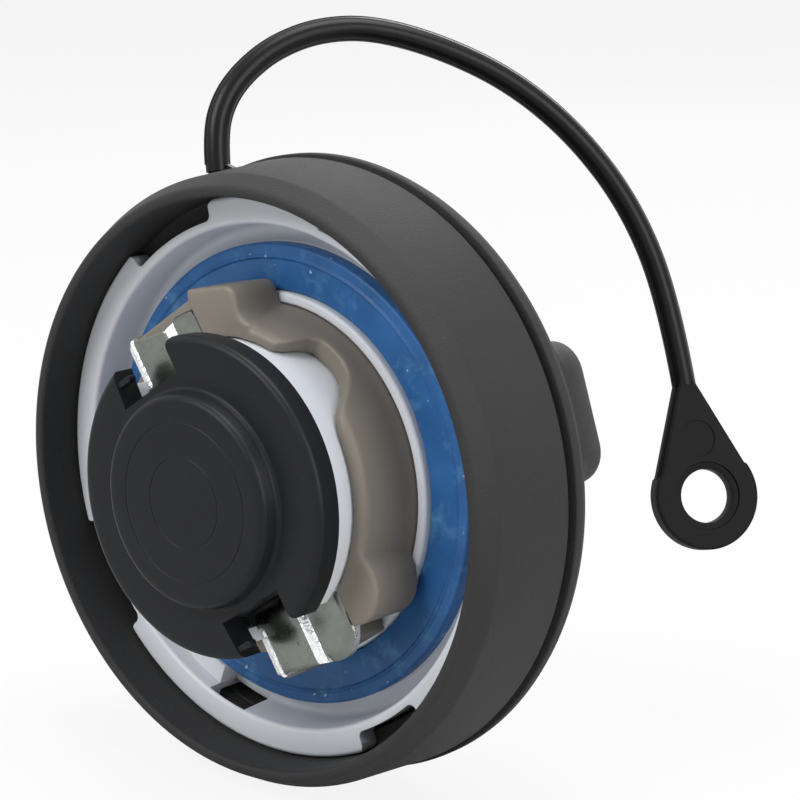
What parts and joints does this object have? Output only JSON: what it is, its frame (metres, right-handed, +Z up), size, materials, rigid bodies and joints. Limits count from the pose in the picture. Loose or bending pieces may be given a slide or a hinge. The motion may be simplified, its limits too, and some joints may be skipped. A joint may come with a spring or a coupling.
{
  "type": "fuel filler cap",
  "caption": "Round bayonet fuel filler cap: domed cover with grip bar, skirt, seal, notched guide ring, sprung steel lug yoke, end plug, relief valves and tether with eye.",
  "frame": {"origin": "on the cap's axis, in the plane of the seal's face, where the cap seats on the filler neck", "axes": "+Y along the cap's axis towards the grip, -Y towards the tank, +Z up, +X to the right seen from the tank side"},
  "size_m": [0.085, 0.0813, 0.1019],
  "materials": {
    "white_plastic": "semi-gloss",
    "seal_rubber": "satin",
    "tan_plastic": "satin",
    "plug_plastic": "fine matte",
    "cover_plastic": "fine stipple",
    "skirt_plastic": "fine stipple",
    "valve_plastic": "natural",
    "valve_rubber": "matte",
    "zinc_steel": "zinc plated, sheared edges",
    "spring_steel": "bright wire",
    "screw_steel": "zinc plated",
    "tether_plastic": "smooth gloss"
  },
  "bodies": {
    "cap": {"inner_body": "white_plastic", "seal_ring": "seal_rubber", "guide_ring": "tan_plastic", "end_plug": "plug_plastic", "cover_disc": "cover_plastic", "skirt_ring": "skirt_plastic", "valve_cage": "valve_plastic", "cover_screw_1": "screw_steel", "cover_screw_2": "screw_steel", "cover_screw_3": "screw_steel", "cover_screw_4": "screw_steel"},
    "yoke": {"bayonet_yoke": "zinc_steel", "main_spring": "spring_steel"},
    "pressure_valve": {"pressure_valve_plate": "valve_plastic", "pressure_valve_seal": "valve_rubber", "pressure_valve_spring": "spring_steel"},
    "vacuum_valve": {"vacuum_valve_stem": "valve_plastic", "vacuum_valve_seal": "valve_rubber", "vacuum_valve_spring": "spring_steel", "vacuum_valve_clip": "spring_steel"},
    "tether": {"tether_ring": "tether_plastic", "tether_cord": "tether_plastic", "tether_eye": "tether_plastic"}
  },
  "joints": [
    {"name": "yoke_slide", "type": "slide", "parent": "cap", "child": "yoke", "axis": [0, -1, 0], "range_m": [0, 0.0022], "stiffness_N_per_m": 4000, "springref_m": -0.004, "deforming": ["main_spring"]},
    {"name": "pressure_valve_lift", "type": "slide", "parent": "cap", "child": "pressure_valve", "axis": [0, 1, 0], "range_m": [0, 0.002], "stiffness_N_per_m": 600, "springref_m": -0.003, "deforming": ["pressure_valve_spring"]},
    {"name": "vacuum_valve_lift", "type": "slide", "parent": "pressure_valve", "child": "vacuum_valve", "axis": [0, -1, 0], "range_m": [0, 0.0015], "stiffness_N_per_m": 150, "springref_m": -0.003, "deforming": ["vacuum_valve_spring"]},
    {"name": "tether_swivel", "type": "hinge", "parent": "cap", "child": "tether", "pos_m": [0, 0.00755, 0], "axis": [0, 1, 0], "continuous": true}
  ]
}
